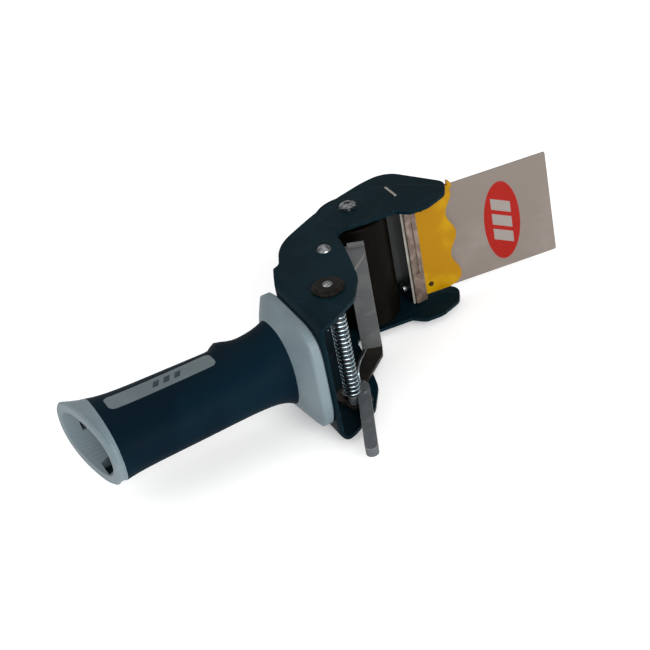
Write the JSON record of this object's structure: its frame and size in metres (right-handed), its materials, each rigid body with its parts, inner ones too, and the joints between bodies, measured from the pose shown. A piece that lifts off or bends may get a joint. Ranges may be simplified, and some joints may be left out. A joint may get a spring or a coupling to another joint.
{
  "type": "tape dispenser",
  "caption": "Hand-held parcel tape dispenser: straight grip, pressed-steel head with a pressure roller, sprung brake lever, toothed blade, guard and clear flap.",
  "frame": {"origin": "on the handle's flat end rim, at the middle of its heel, midway between the side plates", "axes": "+X along the handle towards the head, +Y from the finger lever's side to the side that the head leans to, +Z across the side plates; the dispenser lies on its side"},
  "size_m": [0.2326, 0.1021, 0.0618],
  "materials": {
    "navy_enamel": "glossy baked enamel over pressed steel",
    "grey_plastic": "satin moulded plastic",
    "navy_grip": "matt soft-touch grip",
    "label_plastic": "satin printed inlay, left blank",
    "zinc_fasteners": "bright zinc plate",
    "turned_steel": "turned steel",
    "black_plastic": "moulded plastic",
    "black_rubber": "smooth ground rubber",
    "white_bush": "self-lubricating plastic",
    "bronze_washer": "oil-blackened spring steel",
    "dark_steel": "oil-blackened sheet steel",
    "zinc_bar": "dull zinc plate",
    "cast_lever": "tumbled casting",
    "spring_wire": "bright spring wire",
    "zinc_sheet": "bright zinc-plated sheet",
    "clamp_metal": "plated bar with an iridescent yellow tint",
    "blade_steel": "hardened steel strip",
    "amber_plastic": "translucent amber plastic",
    "brass_pins": "dull brass",
    "clear_film": "milky translucent film with a red printed oval"
  },
  "bodies": {
    "frame_body": {"frame": "navy_enamel", "handle_core": "grey_plastic", "grip_sleeve": "navy_grip", "handle_label": "label_plastic", "handle_screws": "zinc_fasteners", "roller_axle": "turned_steel", "axle_screws": "zinc_fasteners", "tie_bar": "turned_steel", "tie_rivets": "zinc_fasteners", "pivot_rivets": "turned_steel", "pivot_washers": "bronze_washer", "blade_holder": "zinc_sheet", "clamp_bar": "clamp_metal", "clamp_screws": "zinc_fasteners", "blade": "blade_steel", "guard": "amber_plastic", "guard_pins": "brass_pins"},
    "roller": {"roller_core": "black_plastic", "roller_rubber": "black_rubber", "roller_bushes": "white_bush"},
    "brake_lever": {"lever_arms": "dark_steel", "brake_bar": "zinc_bar", "trigger": "cast_lever", "trigger_rivets": "zinc_fasteners", "spring_rod": "turned_steel", "torsion_spring": "spring_wire"},
    "flap_sheet": {"flap": "clear_film"}
  },
  "joints": [
    {"name": "roller_spin", "type": "hinge", "parent": "frame_body", "child": "roller", "pos_m": [0.1366, 0.0563, 0], "axis": [0, 0, 1], "continuous": true},
    {"name": "brake_swing", "type": "hinge", "parent": "frame_body", "child": "brake_lever", "pos_m": [0.102, 0.0095, 0], "axis": [0, 0, 1], "range_deg": [-14, 0], "stiffness_Nm_per_rad": 0.5, "springref_deg": 17.19},
    {"name": "flap_bend", "type": "hinge", "parent": "frame_body", "child": "flap_sheet", "pos_m": [0.1618, 0.0493, 0], "axis": [0, 0, 1], "range_deg": [0, 35], "stiffness_Nm_per_rad": 0.03}
  ]
}
